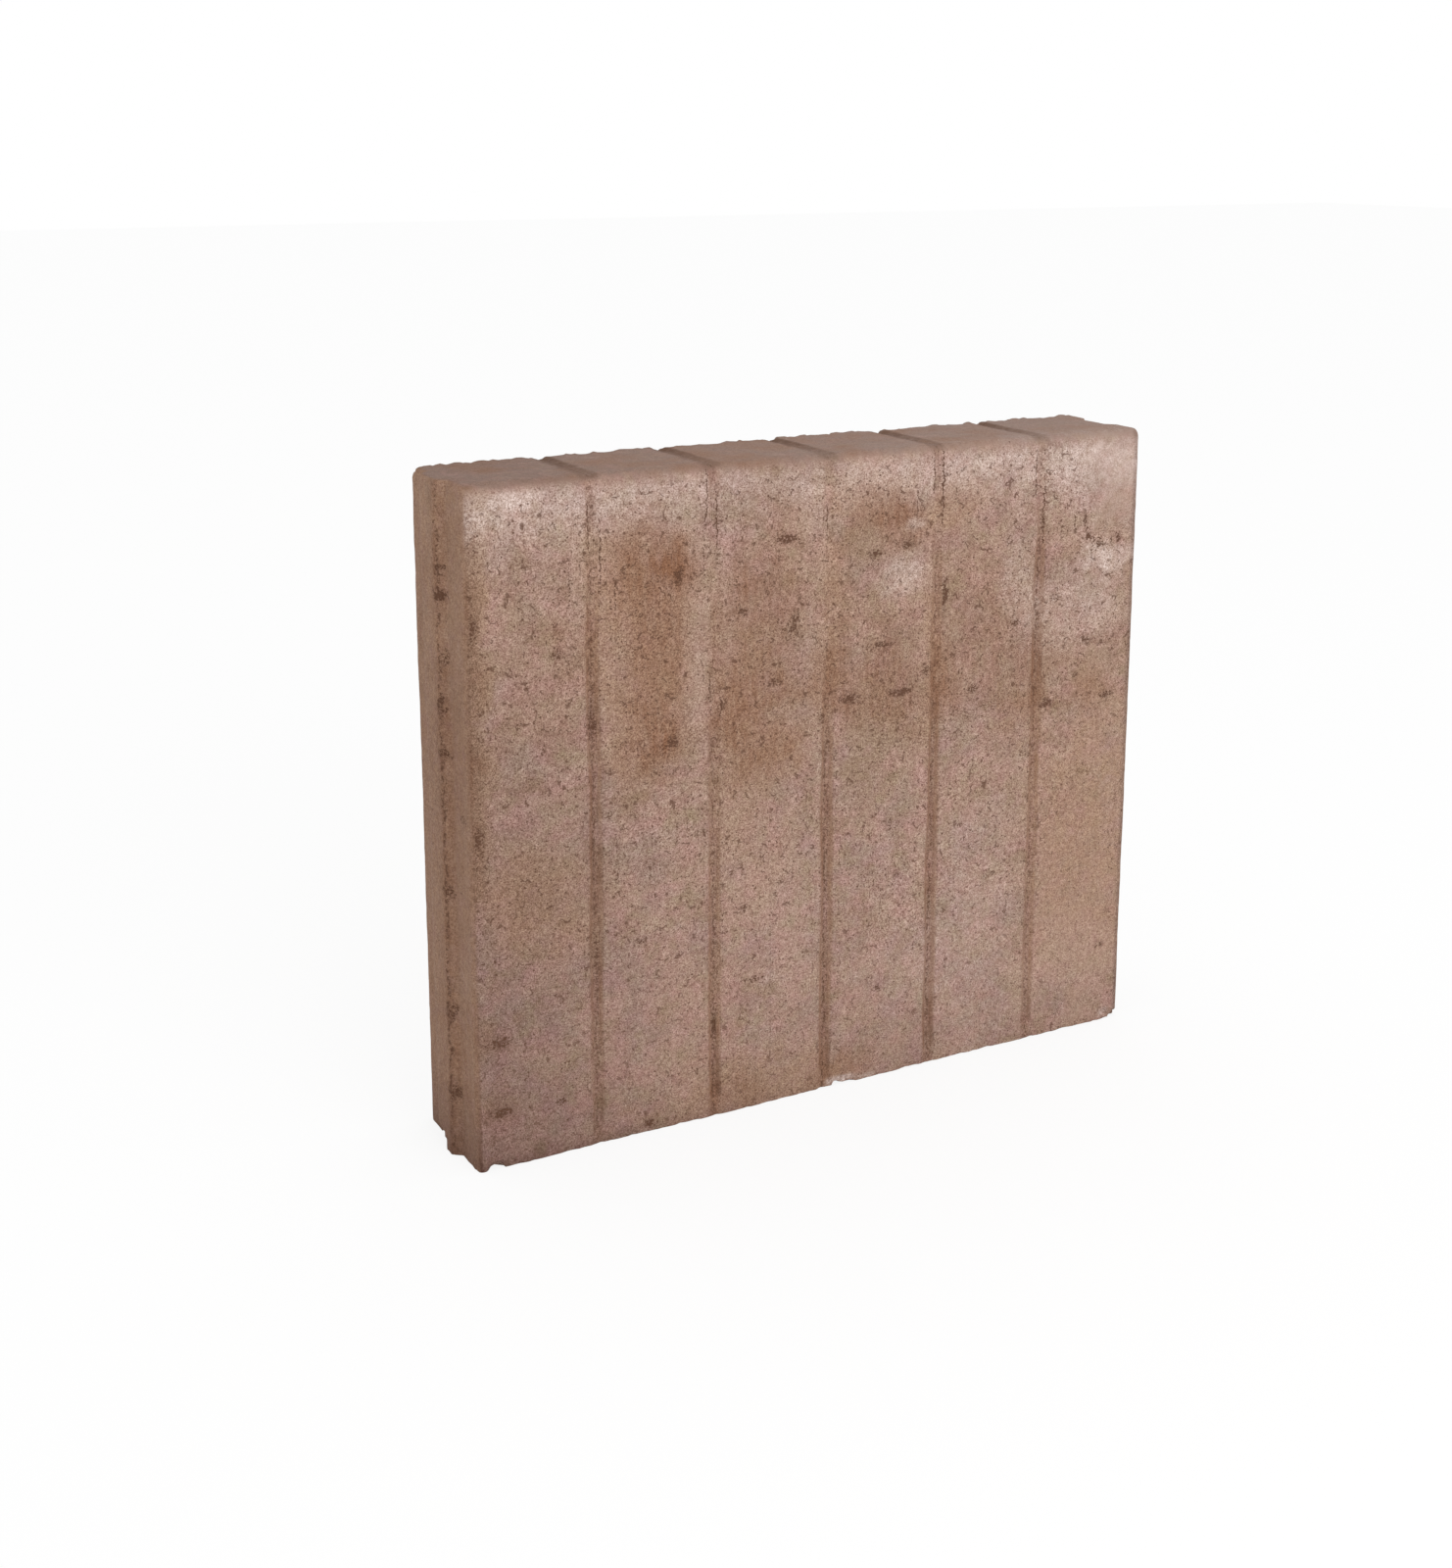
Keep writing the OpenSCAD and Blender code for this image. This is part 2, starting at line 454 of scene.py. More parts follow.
def turn_plan(columns, rows, corner_steps=4, foot_steps=2):
    """One turn round the cross-section, from the front bottom corner up, over the top and back
    under. Each point has a side (-1 front, 1 rear), the tilt of its outward direction above the
    level, the share of the wall's height, whether it is in the foot, its column, and its share
    of the strip under the rounded top edge. The rear runs down as the front runs up."""
    arc = np.radians(np.linspace(0.0, 45.0, corner_steps + 1))
    foot = np.radians(np.linspace(-45.0, 0.0, foot_steps + 1))
    strip = np.linspace(1.0, 0.0, corner_steps)[:-1]
    n_wall = foot_steps + len(rows) + corner_steps
    n_top = len(columns) + 2 * corner_steps
    edge = columns[-1]

    def turned(front, top, rear, under):
        """Joins the four sides, each without its last corner, where the next one starts."""
        return np.concatenate([stretch[:-1] for stretch in (front, top, rear, under)])

    wall_tilt = np.concatenate([foot[:-1], np.zeros(len(rows)), arc[1:]])
    wall_share = np.concatenate([np.zeros(foot_steps), rows, np.ones(corner_steps)])
    in_foot = np.arange(n_wall) < foot_steps
    shoulder = math.pi / 4 + arc[:-1]
    top_tilt = np.concatenate([shoulder, np.full(len(columns), math.pi / 2), shoulder[::-1]])
    top_column = np.concatenate([np.full(corner_steps, -edge), columns,
                                 np.full(corner_steps, edge)])
    top_side = np.where(np.arange(n_top) < n_top // 2, -1.0, 1.0)
    under_tilt = np.full(n_top, -math.pi / 2)
    under_tilt[[0, -1]] = -math.pi / 4
    under_strip = np.concatenate([[1.0], strip, np.zeros(len(columns)), strip[::-1], [1.0]])
    none, all_ = np.zeros(n_top), np.ones(n_top)
    return {
        "side": turned(np.full(n_wall, -1.0), top_side, np.full(n_wall, 1.0), -top_side),
        "tilt": turned(wall_tilt, top_tilt, wall_tilt[::-1], under_tilt),
        "share": turned(wall_share, all_, wall_share[::-1], none),
        "foot": turned(in_foot, none, in_foot[::-1], all_).astype(bool),
        "column": turned(np.full(n_wall, -edge), top_column, np.full(n_wall, edge),
                         top_column[::-1]),
        "strip": turned(in_foot, none, in_foot[::-1], under_strip),
        "across": n_top - 1,
        "up": n_wall - 1,
    }


def tongue_share(depth, half_root, slope):
    """How much of its height the tongue has at a depth: one over its flat tip, falling in a
    slope with soft edges to nothing at its root."""
    share = np.clip((half_root - np.abs(depth)) / slope, 0.0, 1.0)
    return 0.5 * share + 0.5 * smooth_step(share)


def slab_start(sizes):
    """Where the slab's left end is along the row, behind its tongue"""
    return CAD_LOW.x + sizes.tongue_h


def groove_number(x, sizes):
    """Which groove is the nearest, counted from 1 at the left: the distance from half a gap
    before the left end, in pitches, rounded."""
    number = np.round((x - slab_start(sizes) + sizes.joint_gap / 2) / sizes.post_pitch)
    return np.clip(number, 1, sizes.post_count - 1).astype(int)


def groove_middle(number, sizes):
    """Where along the row a groove lies: that many pitches from half a gap before the left end"""
    return slab_start(sizes) - sizes.joint_gap / 2 + number * sizes.post_pitch


def groove_dirt(number, depth, height, sizes):
    """How deep and dirty a groove is at a height: straight lines between the values that each
    groove has at the front, and one value for all the grooves at the rear."""
    number = np.minimum(number, len(GROOVE_DIRT))
    each = [np.interp(height / MM, GROOVE_HEIGHTS, row) for row in GROOVE_DIRT]
    return np.where(depth > 0.0, REAR_GROOVE_DIRT, np.choose(number - 1, each))


def groove_valley(x, depth, height, sizes):
    """How far a place lies down a groove's side, and how deep that groove is, as shares: a
    smooth valley whose line wanders and whose width varies with noise. The dirtiest grooves
    are the deepest, and all run out shallow at the foot."""
    number = groove_number(x, sizes)
    middle = groove_middle(number, sizes)
    # The grooves are taken further apart than they are, so that each has its own noise.
    place = np.stack(np.broadcast_arrays(3.0 * middle, depth, height), axis=-1)
    wander = 0.55 * MM * soft_noise(place, 38 * MM, 21) + 0.25 * MM * soft_noise(place, 9 * MM, 22)
    narrow = 1.0 + 0.22 * soft_noise(place, 24 * MM, 23)
    off = np.abs(x - middle + wander) * narrow
    valley = fade(off, 0.15 * sizes.groove_root_w, 1.15 * sizes.post_edge_r)
    full = np.clip(0.36 + 0.44 * groove_dirt(number, depth, height, sizes), 0.0, 1.0)
    return valley, full * (0.25 + 0.75 * rise(height, 2 * MM, 14 * MM))


def belt(sizes, along, plan):
    """The faces that run round the slab: at each place along the row, a rectangle with round top
    corners. It stands in by a quarter-round at each groove and each end, and the tongue draws
    the last places out."""
    half = sizes.thickness / 2
    x = along[:, None]
    from_left = x - slab_start(sizes)
    from_right = CAD_HIGH.x - x
    column = plan["column"]
    rough_depth = column + plan["side"] * sizes.top_edge_r * np.cos(plan["tilt"])
    valley, full = groove_valley(x, rough_depth, plan["share"] * sizes.height, sizes)
    open_top = 0.4 + 0.6 * rise(column, half - 24 * MM, 14 * MM)
    on_tongue = tongue_share(column, sizes.tongue_w / 2, sizes.tongue_slope)
    in_socket = tongue_share(column, sizes.tongue_w / 2 + sizes.tongue_clearance,
                             sizes.tongue_slope)
    left_dip = edge_round(from_left, sizes.post_edge_r)
    right_dip = edge_round(from_right, sizes.post_edge_r)
    inset = np.maximum(valley * sizes.groove_depth * full, np.maximum(left_dip, right_dip))
    left_drop = blend(left_dip, edge_round(from_left, sizes.tongue_edge_r), on_tongue)
    right_drop = blend(edge_round(from_right, sizes.right_edge_r),
                       edge_round(from_right, sizes.socket_edge_r), in_socket)
    drop = np.maximum(valley * sizes.top_groove_depth * open_top,
                      np.maximum(left_drop, right_drop))
    corner = sizes.top_edge_r - inset
    foot_r = sizes.foot_edge_r
    radius = np.where(plan["foot"], foot_r, corner)
    strip = plan["strip"] * (half - inset - foot_r - (half - sizes.top_edge_r))
    y = column + plan["side"] * (radius * np.cos(plan["tilt"]) + strip)
    wall = foot_r + plan["share"] * (sizes.height - drop - corner - foot_r)
    z = np.where(plan["foot"], foot_r, wall) + radius * np.sin(plan["tilt"])
    drawn = sizes.tongue_h * on_tongue * fade(from_left, sizes.post_edge_r, TONGUE_DRAW)
    socket_depth = sizes.tongue_h + sizes.tongue_clearance
    pushed = socket_depth * in_socket * fade(from_right, 0.0, SOCKET_DRAW)
    return np.stack(np.broadcast_arrays(x - drawn - pushed, y, z), axis=-1)


def cap(rim, plan, reach):
    """An end face inside its rim: each inner point is the sum of the blends between the two
    facing sides, less the blend between the four corners. reach moves it along the row."""
    across, up = plan["across"], plan["up"]
    front = rim[: up + 1]
    top = rim[up: up + across + 1]
    rear = rim[up + across: 2 * up + across + 1][::-1]
    under = np.concatenate([rim[2 * up + across:], rim[:1]])[::-1]
    u = ((under[:, 1] - under[0, 1]) / (under[-1, 1] - under[0, 1]))[:, None, None]
    v = ((front[:, 2] - front[0, 2]) / (front[-1, 2] - front[0, 2]))[None, :, None]
    face = ((1 - v) * under[:, None] + v * top[:, None]
            + (1 - u) * front[None] + u * rear[None]
            - (1 - u) * (1 - v) * under[0] - u * (1 - v) * under[-1]
            - (1 - u) * v * top[0] - u * v * top[-1])
    inner = face[1:-1, 1:-1].copy()
    inner[..., 0] = reach(inner[..., 1])
    return inner


def cap_numbers(first_inner, station_start, plan):
    """Point numbers of a cap's grid: its border is the belt's turn, its inside is new."""
    across, up = plan["across"], plan["up"]
    turn = 2 * (across + up)
    grid = np.empty((across + 1, up + 1), int)
    grid[1:-1, 1:-1] = first_inner + np.arange((across - 1) * (up - 1)).reshape(across - 1, up - 1)
    grid[0, :] = station_start + np.arange(up + 1)
    grid[:, -1] = station_start + up + np.arange(across + 1)
    grid[-1, ::-1] = station_start + up + across + np.arange(up + 1)
    grid[::-1, 0] = station_start + (2 * up + across + np.arange(across + 1)) % turn
    return grid


def grid_quads(grid):
    """The four-cornered faces between neighbouring numbers of a grid."""
    return np.stack([grid[:-1, :-1], grid[1:, :-1], grid[1:, 1:], grid[:-1, 1:]],
                    axis=-1).reshape(-1, 4)


def mesh_steps(sizes):
    """Places along the row, across the top and up the walls, the last as shares. They stand
    closer at the grooves, the ends, the sides of the tongue and the foot."""
    left = slab_start(sizes)
    grooves = groove_middle(np.arange(1, sizes.post_count), sizes)
    close = np.concatenate([grooves, [left - 2 * MM, CAD_HIGH.x + 2 * MM]])
    along = spread(left, CAD_HIGH.x, close, 8.5 * MM, ROW_STEPS)
    edge = sizes.thickness / 2 - sizes.top_edge_r
    slope_at = sizes.tongue_w / 2 - sizes.tongue_slope / 2
    columns = spread(-edge, edge, [-slope_at, slope_at], 4 * MM, TOP_STEPS)
    rows = spread(0.0, 1.0, [0.0], 0.03, WALL_STEPS)
    return along, columns, rows


def clean_casting(sizes):
    """Points and faces of the slab before wear: the belt, closed by a cap at each end. The left
    cap reaches out by the tongue, and the right one in by the groove that takes it."""
    along, columns, rows = mesh_steps(sizes)
    plan = turn_plan(columns, rows)
    around = belt(sizes, along, plan)
    stations, turn = around.shape[:2]
    numbers = np.arange(stations * turn).reshape(stations, turn)
    closed = np.concatenate([numbers, numbers[:, :1]], axis=1)
    tongue_root = sizes.tongue_w / 2
    socket_root = tongue_root + sizes.tongue_clearance
    socket_depth = sizes.tongue_h + sizes.tongue_clearance
    left_cap = cap(around[0], plan, lambda y: slab_start(sizes) - sizes.tongue_h
                   * tongue_share(y, tongue_root, sizes.tongue_slope))
    right_cap = cap(around[-1], plan, lambda y: CAD_HIGH.x - socket_depth
                    * tongue_share(y, socket_root, sizes.tongue_slope))
    points = np.concatenate([part.reshape(-1, 3) for part in (around, left_cap, right_cap)])
    inner = left_cap.shape[0] * left_cap.shape[1]
    left_grid = cap_numbers(numbers.size, 0, plan)
    right_grid = cap_numbers(numbers.size + inner, (stations - 1) * turn, plan)
    quads = np.concatenate([grid_quads(closed), grid_quads(left_grid)[:, ::-1],
                            grid_quads(right_grid)])
    return points, quads


def point_normals(points, quads):
    """Outward direction at each point: the sum of its faces' cross products of diagonals."""
    a, b, c, d = (points[quads[:, n]] for n in range(4))
    face = np.cross(c - a, d - b)
    total = np.zeros_like(points)
    for n in range(4):
        np.add.at(total, quads[:, n], face)
    return total / np.linalg.norm(total, axis=1, keepdims=True)


def scoop(points, centre, radius, push):
    """Moves the points inside a ball by a push that falls to nothing at the ball's surface."""
    far = np.linalg.norm((points - centre) / radius, axis=1)
    return np.sqrt(np.clip(1.0 - far**2, 0.0, 1.0))[:, None] * np.asarray(push)


def weather(points, normals, finish, sizes):
    """Wears the clean casting: slow and quick waves along the outward direction, a crumbled
    bottom edge and rear top edge, and chips. Nothing reaches below the floor."""
    slow = soft_noise(points, 60 * MM, 31) + 0.5 * soft_noise(points, 19 * MM, 32)
    quick = soft_noise(points, 6.5 * MM, 33) + 0.7 * soft_noise(points, 3 * MM, 34)
    ragged = soft_noise(points, 3.5 * MM, 35) + 0.8 * soft_noise(points, 9 * MM, 36)
    foot = fade(points[:, 2], 0.0, 6 * MM)
    behind = rise(points[:, 1], sizes.thickness / 2 - 9 * MM, 6 * MM)
    crest = rise(points[:, 2], sizes.height - 9 * MM, 6 * MM)
    loss = foot * np.clip(0.15 + 0.35 * ragged, 0.0, 1.0)
    loss += behind * crest * np.clip(0.3 + 1.7 * ragged, -0.7, 2.2)
    out = finish.waviness * (0.8 * slow + 0.3 * quick) - finish.crumble * loss
    moved = points + normals * out[:, None]
    for x, y, z, radius, push in CHIPS:
        centre = (slab_start(sizes) + x * MM, y * MM, z * MM)
        bite = scoop(points, centre, radius * MM, np.array(push) * MM)
        moved += bite * (1.0 + 0.35 * ragged)[:, None]
    moved[:, 2] = np.maximum(moved[:, 2], 0.0)
    return moved


# ---------------------------------------------------------------- stains, painted shade and highlight


def surroundings(points, normals, sizes):
    """What the stains go by at each point: its place and its distances in millimetres, how much
    it faces each way, two noises, and how near and how dirty its groove is."""
    depth, height = points[:, 1] / MM, points[:, 2] / MM
    across = (points[:, 0] - slab_start(sizes)) / MM
    outer = rise(np.abs(depth), sizes.thickness / 2 / MM - 12, 5)
    front = rise(-normals[:, 1], 0.3, 0.5) * outer
    rear = rise(normals[:, 1], 0.3, 0.5) * outer
    top = rise(normals[:, 2], 0.25, 2 / 3)
    number = groove_number(points[:, 0], sizes)
    off = (points[:, 0] - groove_middle(number, sizes)) / MM
    ragged = soft_noise(points, 5 * MM, 44)
    # Painted shade: where the grooves across the top lie, stronger towards the rear
    over = fade(np.abs(off) + 0.8 * ragged, 4.4, 3) * (0.5 + 0.5 * rise(depth, -28, 50))
    return SimpleNamespace(
        across=across,
        along=np.clip(across * MM / (sizes.post_count * sizes.post_pitch), 0.0, 1.0),
        depth=depth,
        height=height,
        below=sizes.height / MM - height,
        front=front,
        rear=rear,
        top=top,
        wall=np.maximum(front, rear) * (1.0 - top),
        left_end=rise(-normals[:, 0], 0.35, 1 / 3),
        right_end=rise(normals[:, 0], 0.35, 1 / 3),
        on_left=normals[:, 0] < -0.5,
        rim=fade((CAD_HIGH.x - points[:, 0]) / MM, 3.6, 2.2),
        foot=fade(height, 0, 10),
        low=fade(height, 0, 60),
        sway=soft_noise(points, 22 * MM, 41) + 0.5 * soft_noise(points, 8 * MM, 42),
        slow=soft_noise(points, 70 * MM, 43),
        off=off,
        groove=fade(np.abs(off + 0.9) + 0.7 * ragged, 1.6, 3.4),
        over=top * over,
        dirt=groove_dirt(number, points[:, 1], points[:, 2], sizes),
    )


def patches(at, places):
    """Sum of soft ovals at their places: the strength times the smooth step of a number that
    falls with the distance from the middle in oval radii, and that the sway draws in and out."""
    total = np.zeros_like(at.across)
    for x, z, half_width, half_height, strength in places:
        far = np.hypot((at.across - x) / half_width, (at.height - z) / half_height)
        total += strength * smooth_step(1.35 - 0.85 * far + 0.45 * at.sway)
    return total


def lime_and_highlight_mask(at, sizes):
    """A band under the top edge of the front, of which each post has its own share, patches
    below it, clouds on the rear, a painted highlight down the rear side of the tongue against
    its shade, and a veil on the top, most of it at the front of the right half."""
    middles = (np.arange(sizes.post_count) + 0.5) * sizes.post_pitch / MM
    lime = np.interp(at.across, middles, np.resize(LIME_ON_POSTS, sizes.post_count))
    band = rise(at.below, 1, 10) * hill(np.maximum(at.below, 13), 13, 13 + 12 * lime)
    own = lime * band * (1.0 + 0.35 * at.sway) * (1.0 - 0.6 * at.groove)
    mask = at.front * (own + patches(at, LIME_PATCHES))
    mask += at.rear * np.clip(0.4 * band + 0.4 * at.slow - 0.15, 0.0, 1.0)
    # Painted highlight: lightens the rear side of the tongue, which is in shade
    mask += at.left_end * 0.25 * hill(at.depth, TONGUE_REAR, 4)
    mask += at.top * np.clip(0.18 * at.along - 0.02, 0.0, 1.0)
    mask += at.top * 0.14 * rise(at.along, 0.5, 1 / 3) * rise(-at.depth, 18, 14)
    return mask


def rust_mask(at):
    """Patches on the front, clouds on the rear and on the top, a tint on both ends, stronger
    down the front side of the tongue, and a line in each dirty groove"""
    mask = at.front * patches(at, RUST_STAINS)
    mask += at.rear * np.clip(0.5 * at.sway + 0.4 * at.slow, 0.0, 0.8)
    mask += at.top * np.clip(0.15 + 0.4 * at.sway, 0.0, 0.6)
    mask += at.left_end * (0.27 + 0.16 * at.sway + 0.2 * hill(at.depth, TONGUE_FRONT, 5))
    mask += 0.3 * at.right_end + 0.42 * at.groove * np.clip(at.dirt, 0.0, 1.2) * at.wall
    return mask


def soil_and_shade_mask(at):
    """Some soil in the grooves and along the foot, more across the top as painted shade in the
    grooves there, and a broken line of soil and painted shade in the crease down the front side
    of the tongue"""
    # Soil and painted shade in the crease at the front side of the tongue
    crease = at.left_end * hill(at.depth, TONGUE_FRONT, 1.4) * np.clip(0.6 + 1.2 * at.sway, 0.0, 1.0)
    # Painted shade: most of the darkening in the grooves across the top
    in_grooves = 0.1 * at.groove * np.clip(at.dirt, 0.0, 1.2) * at.wall + 0.85 * at.over
    return in_grooves + 0.12 * at.foot + 0.24 * crease


def calm_mask(at):
    """Where the face is smoother and has fewer pores: the top, the ends, the front's top edge,
    its foot and some patches"""
    mask = 0.62 * at.top + 0.4 * np.maximum(at.left_end, at.right_end)
    mask += at.front * (0.35 * fade(at.below, 4, 8) + 0.08 * fade(at.height, 70, 60))
    return mask + at.front * patches(at, CALM_PATCHES)


def painted_shade_mask(at):
    """Painted shade: the front darker low down and to the left, where less of the light falls.
    Also darker along both upright edges of the front, at the left and the rear of the top, and
    low on the left end."""
    # Painted shade: the front darkens towards its lower left, away from the light
    mask = at.front * (0.3 * fade(at.across, 0, 150) * fade(at.height, 60, 360) + 0.08 * at.low)
    mask += at.front * (0.17 * at.foot + 0.05 * at.low) * fade(at.across, 60, 240)
    mask += at.front * (0.2 * at.rim + 0.12 * fade(at.across, 3, 8) * rise(at.height, 180, 80))
    mask += at.top * (0.08 * fade(at.across, 40, 60) + 0.04 * rise(at.depth, -10, 40))
    mask += at.left_end * (0.34 * at.low + 0.07 * fade(at.height, 260, 90))
    return mask


def stain_masks(at, sizes):
    """How much of each stain, and of the painted shade and highlight, a point has, from nothing
    to one. Even is where the clouds in the dye are faint, and marked is where holes and cracks
    may show."""
    ends = 0.9 * at.left_end + 0.5 * at.right_end
    on_top = at.top * np.clip(0.4 * at.sway, 0.0, 0.5)
    masks = {
        "lime_and_highlight": lime_and_highlight_mask(at, sizes),
        "ochre": rust_mask(at),
        "amber": at.front * patches(at, WARM_STAINS) + ends + on_top,
        # Olive patches, and painted shade in the grooves across the top
        "umber": at.front * patches(at, OLIVE_STAINS) + 0.4 * at.over,
        "soil_and_shade": soil_and_shade_mask(at),
        # Dust and painted shade over the whole top, and a grey strip along the right edge of the
        # front
        "dust_and_shade": 0.95 * at.top + at.front * at.rim,
        "calm": calm_mask(at),
        "painted_shade": painted_shade_mask(at),
        "even": at.front * fade(at.height, 150, 90),
        "marked": np.maximum(at.front, at.left_end),
    }
    return {name: np.clip(mask, 0.0, 1.0) for name, mask in masks.items()}


def nearest_mark(across, height, marks):
    """Way to the nearest mark, counted in its half width and half height, and how dark it is.
    Points further outside it than the margin have none."""
    x, z, half_width, half_height, dark = np.asarray(marks, float).T
    way_x = across[:, None] - x
    way_z = height[:, None] - z
    far = np.hypot(way_x / half_width, way_z / half_height)
    point, mark = np.arange(len(across)), np.argmin(far, axis=1)
    close = (np.abs(way_x) < half_width + MARK_MARGIN) & (np.abs(way_z) < half_height + MARK_MARGIN)
    return np.stack([(way_x / half_width)[point, mark], (way_z / half_height)[point, mark],
                     (dark * close)[point, mark]], axis=1)


def mark_places(at):
    """Three numbers a point for the holes, for the cracks and for the dots in the grooves: the
    last are the way to the groove's middle and how dirty it is. On the left end the front side
    of the tongue stands for the groove."""
    on_front = nearest_mark(at.across, at.height, HOLES)
    on_end = nearest_mark(at.depth, at.height, END_HOLES)
    off = np.where(at.on_left, at.depth - TONGUE_FRONT, at.off)
    dirty = np.where(at.on_left, at.depth < 5.0, np.clip(at.dirt, 0.0, 1.0))
    return {
        "holes": np.where(at.on_left[:, None], on_end, on_front),
        "cracks": nearest_mark(at.across, at.height, CRACKS),
        "seam": np.stack([np.clip(off, -9.0, 9.0), dirty, np.zeros_like(off)], axis=1),
    }


# ---------------------------------------------------------------- mesh


def new_piece(name, points, quads):
    """A mesh object at the origin from arrays of points and four-cornered faces."""
    mesh = bpy.data.meshes.new(name)
    mesh.vertices.add(len(points))
    mesh.vertices.foreach_set("co", points.astype(np.float32).ravel())
    mesh.loops.add(quads.size)
    mesh.loops.foreach_set("vertex_index", quads.astype(np.int32).ravel())
    mesh.polygons.add(len(quads))
    mesh.polygons.foreach_set("loop_start", np.arange(0, quads.size, 4, dtype=np.int32))
    mesh.polygons.foreach_set("use_smooth", np.ones(len(quads), bool))
    mesh.update(calc_edges=True)
    mesh.validate()
    piece = bpy.data.objects.new(name, mesh)
    bpy.context.scene.collection.objects.link(piece)
    return piece


def store(piece, name, values):
    """Stores one number or three numbers a point, which the material reads by their name."""
    kind, field = ("FLOAT", "value") if values.ndim == 1 else ("FLOAT_VECTOR", "vector")
    layer = piece.data.attributes.new(name, kind, "POINT")
    layer.data.foreach_set(field, values.astype(np.float32).ravel())


# ---------------------------------------------------------------- material


class Graph:
    """Short ways to add nodes to the tree of a material or of the world"""

    def __init__(self, owner):
        owner.use_nodes = True
        self.tree = owner.node_tree
        self.tree.nodes.clear()

    def add(self, kind, **settings):
        made = self.tree.nodes.new(kind)
        for name, value in settings.items():
            setattr(made, name, value)
        return made

    def feed(self, socket, value):
        """Links an output to a socket, or sets the socket to a number, a colour or a vector."""
        if isinstance(value, bpy.types.NodeSocket):
            self.tree.links.new(value, socket)
        else:
            socket.default_value = value

    @cached_property
    def coords(self):
        """Object coordinates"""
        return self.add("ShaderNodeTexCoord").outputs["Object"]

    def vector_maths(self, operation, place, value):
        made = self.add("ShaderNodeVectorMath", operation=operation)
        self.feed(made.inputs[0], place)
        self.feed(made.inputs[1], value)
        return made.outputs[0]

    def shifted(self, way):
        """Object coordinates moved along, so that two noises of one size don't match"""
        return self.vector_maths("ADD", self.coords, (way, way, way))

    def drawn_down(self, share):
        """Object coordinates with the height counted for less, which draws noise into streaks"""
        return self.vector_maths("MULTIPLY", self.coords, (1.0, 1.0, share))

    def ragged(self, size):
        """Object coordinates pushed about by a noise as far as its size, for ragged outlines"""
        push = self.noise(size, output="Color")
        return self.vector_maths("ADD", self.coords,
                                 self.vector_maths("MULTIPLY", push, (size, size, size)))

    def noise(self, size, detail=2.0, rough=0.5, where=None, output="Fac"):
        made = self.add("ShaderNodeTexNoise")
        self.feed(made.inputs["Vector"], where or self.coords)
        made.inputs["Scale"].default_value = 1.0 / size
        made.inputs["Detail"].default_value = detail
        made.inputs["Roughness"].default_value = rough
        return made.outputs[output]

    def cells(self, size, where=None, output="Distance"):
        made = self.add("ShaderNodeTexVoronoi")
        self.feed(made.inputs["Vector"], where or self.coords)
        made.inputs["Scale"].default_value = 1.0 / size
        return made.outputs[output]

    def channels(self, colour):
        made = self.add("ShaderNodeSeparateColor")
        self.feed(made.inputs[0], colour)
        return made.outputs

    def level(self, value, low, high, to_low=0.0, to_high=1.0, smooth=False):
        """Takes low and high to two new numbers, and what lies between them to between."""
        made = self.add("ShaderNodeMapRange", interpolation_type="SMOOTHSTEP" if smooth else "LINEAR")
        self.feed(made.inputs["Value"], value)
        for socket, number in zip(("From Min", "From Max", "To Min", "To Max"),
                                  (low, high, to_low, to_high)):
            made.inputs[socket].default_value = number
        return made.outputs["Result"]

    def maths(self, operation, first, *others):
        """Works the values together by one operation, from the first to the last."""
        total = first
        for value in others:
            made = self.add("ShaderNodeMath", operation=operation)
            self.feed(made.inputs[0], total)
            self.feed(made.inputs[1], value)
            total = made.outputs[0]
        return total

    def plus(self, *values):
        return self.maths("ADD", *values)

    def times(self, *values):
        return self.maths("MULTIPLY", *values)

    def most(self, *values):
        return self.maths("MAXIMUM", *values)

    def size_of(self, value):
        return self.maths("ABSOLUTE", value, 0.0)

    def mix(self, share, a, b, blend="MIX"):
        """Goes from one colour to the other, or to what the blend makes of both, by a share."""
        made = self.add("ShaderNodeMix", data_type="RGBA", blend_type=blend)
        self.feed(made.inputs[0], share)
        for socket, colour in ((made.inputs[6], a), (made.inputs[7], b)):
            if not isinstance(colour, bpy.types.NodeSocket):
                colour = (*colour, 1.0)
            self.feed(socket, colour)
        return made.outputs[2]

    def mask(self, name):
        """The one number that a point has under a name"""
        return self.add("ShaderNodeAttribute", attribute_name=name).outputs["Fac"]

    def parts(self, name):
        """The three numbers that a point has under a name"""
        made = self.add("ShaderNodeSeparateXYZ")
        source = self.add("ShaderNodeAttribute", attribute_name=name)
        self.feed(made.inputs[0], source.outputs["Vector"])
        return made.outputs

    def show(self, shader, output="ShaderNodeOutputMaterial"):
        self.feed(self.add(output).inputs["Surface"], shader)


def placed_marks(g, name, bend, smudge):
    """Ovals at their places: a noise bends their outline and breaks the faint ones into dots,
    and a smudge fades out round them."""
    x, z, dark = g.parts(name)
    push = g.channels(g.noise(OUTLINE_NOISE, output="Color"))
    x = g.plus(x, g.level(push[0], 0.25, 0.75, -bend, bend))
    z = g.plus(z, g.level(push[1], 0.25, 0.75, -0.7, 0.7))
    far = g.plus(g.times(x, x), g.times(z, z))
    fine = g.level(g.noise(1.1 * MM, 2.0, 0.6, g.shifted(0.2)), 0.3, 0.7, -0.75, 0.75)
    depth = g.plus(g.times(dark, g.level(far, 0.0, 1.6, 1.2, 0.0)), fine)
    inside = g.times(g.level(depth, 0.38, 0.62), g.level(far, 1.3, 1.9, 1.0, 0.0),
                     g.level(dark, 0.0, 0.1))
    about = g.times(dark, g.level(far, 0.2, 2.8, smudge, 0.0))
    return g.times(g.most(inside, about), g.mask("marked"))


